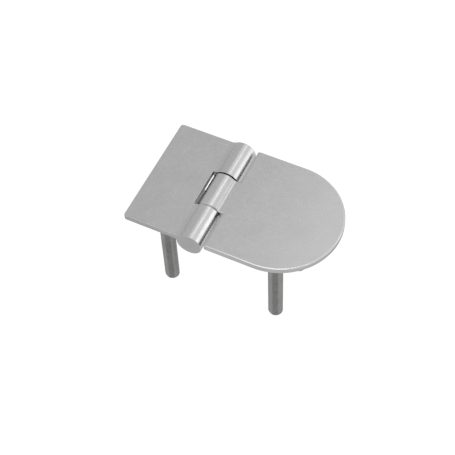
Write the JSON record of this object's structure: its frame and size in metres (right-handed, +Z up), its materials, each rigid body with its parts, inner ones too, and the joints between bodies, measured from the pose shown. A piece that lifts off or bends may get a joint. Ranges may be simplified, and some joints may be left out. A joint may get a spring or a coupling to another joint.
{
  "type": "asymmetric stud hinge",
  "caption": "Cast stainless hinge with a short square leaf and a longer round-ended leaf on one pin, each leaf bolted down from below by threaded studs.",
  "frame": {"origin": "midway between the square leaf's two studs, on the plane that both leaves seat on", "axes": "+X from the square leaf to the round leaf, +Y along the pin, +Z up out of the leaves; the studs point to -Z"},
  "size_m": [0.08, 0.05, 0.0519],
  "materials": {
    "polished_stainless": "satin polished casting",
    "pin_stainless": "ground",
    "stud_stainless": "dull rolled thread"
  },
  "bodies": {
    "fixed_leaf": {"square_leaf": "polished_stainless", "hinge_pin": "pin_stainless", "square_leaf_stud_near": "stud_stainless", "square_leaf_stud_far": "stud_stainless"},
    "swing_leaf": {"round_leaf": "polished_stainless", "round_leaf_stud_near": "stud_stainless", "round_leaf_stud_far": "stud_stainless"}
  },
  "joints": [
    {"name": "leaf_swing", "type": "hinge", "parent": "fixed_leaf", "child": "swing_leaf", "pos_m": [0.0162, 0, -0.0008], "axis": [0, -1, 0], "range_deg": [-49, 117]}
  ]
}
